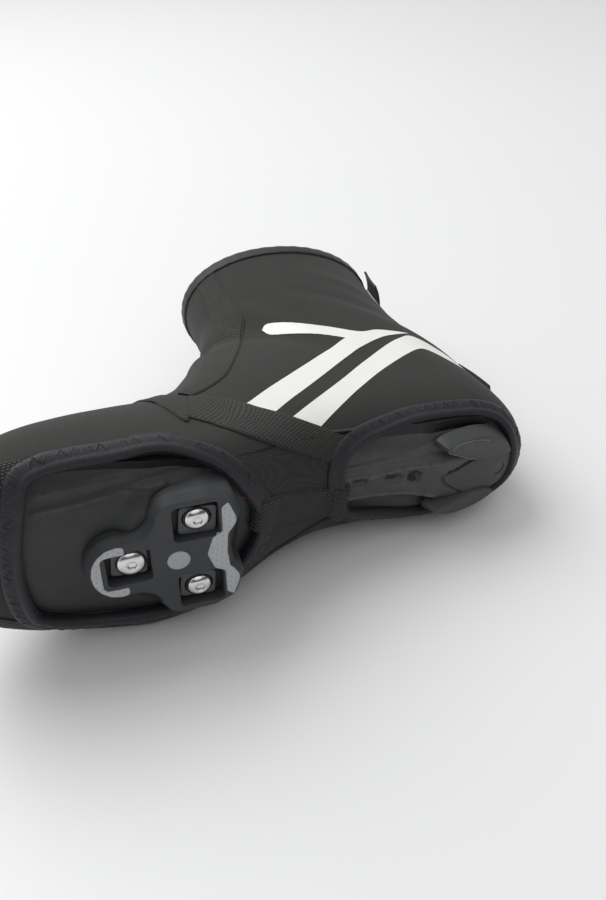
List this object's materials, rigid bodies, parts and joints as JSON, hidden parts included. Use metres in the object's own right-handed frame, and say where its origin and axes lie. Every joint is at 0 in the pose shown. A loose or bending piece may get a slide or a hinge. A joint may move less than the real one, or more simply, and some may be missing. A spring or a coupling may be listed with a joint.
{
  "type": "cycling overshoe",
  "caption": "Insulated ankle-high cycling overshoe with windows under ball and heel, over a shoe sole with a road cleat, lying on its outer side.",
  "frame": {"origin": "centre of the bounding box on the floor", "axes": "the overshoe lies on its outer side: +Y towards the toes, +X from the sole to the collar, +Z from its outer to its inner side"},
  "size_m": [0.2186, 0.314, 0.1113],
  "materials": {
    "neoprene": "matt jersey-faced neoprene with pale reflective stripes",
    "binding": "satin elastic binding with zigzag stitching",
    "mesh": "coarse woven reinforcement",
    "strap": "matt woven tape",
    "reflective": "pale reflective tape",
    "sole": "satin moulded nylon",
    "insole": "matt foam with fabric face",
    "lug": "satin scuffed rubber",
    "cleat": "satin moulded nylon",
    "pad": "matt pale grey rubber with fine dots",
    "washer": "matt black",
    "bolt": "polished steel"
  },
  "bodies": {
    "root": {"upper": "neoprene", "forefoot_window_binding": "binding", "heel_window_binding": "binding", "arch_bridge": "mesh", "instep_band": "mesh", "instep_panel_inner": "mesh", "instep_panel_outer": "mesh", "toe_guard": "mesh", "collar_hem": "binding", "back_strip": "reflective", "closing_strap": "strap", "heel_pull_tab": "strap", "sole_plate": "sole", "insole": "insole", "heel_lug_inner": "lug", "heel_lug_outer": "lug", "heel_pad": "lug", "heel_bolt": "lug", "cleat_body": "cleat", "cleat_nose_pad": "pad", "cleat_rear_pad": "pad", "cleat_centre_disc": "pad", "cleat_washer_inner": "washer", "cleat_washer_outer": "washer", "cleat_washer_front": "washer", "cleat_bolt_inner": "bolt", "cleat_bolt_outer": "bolt", "cleat_bolt_front": "bolt"}
  },
  "joints": []
}
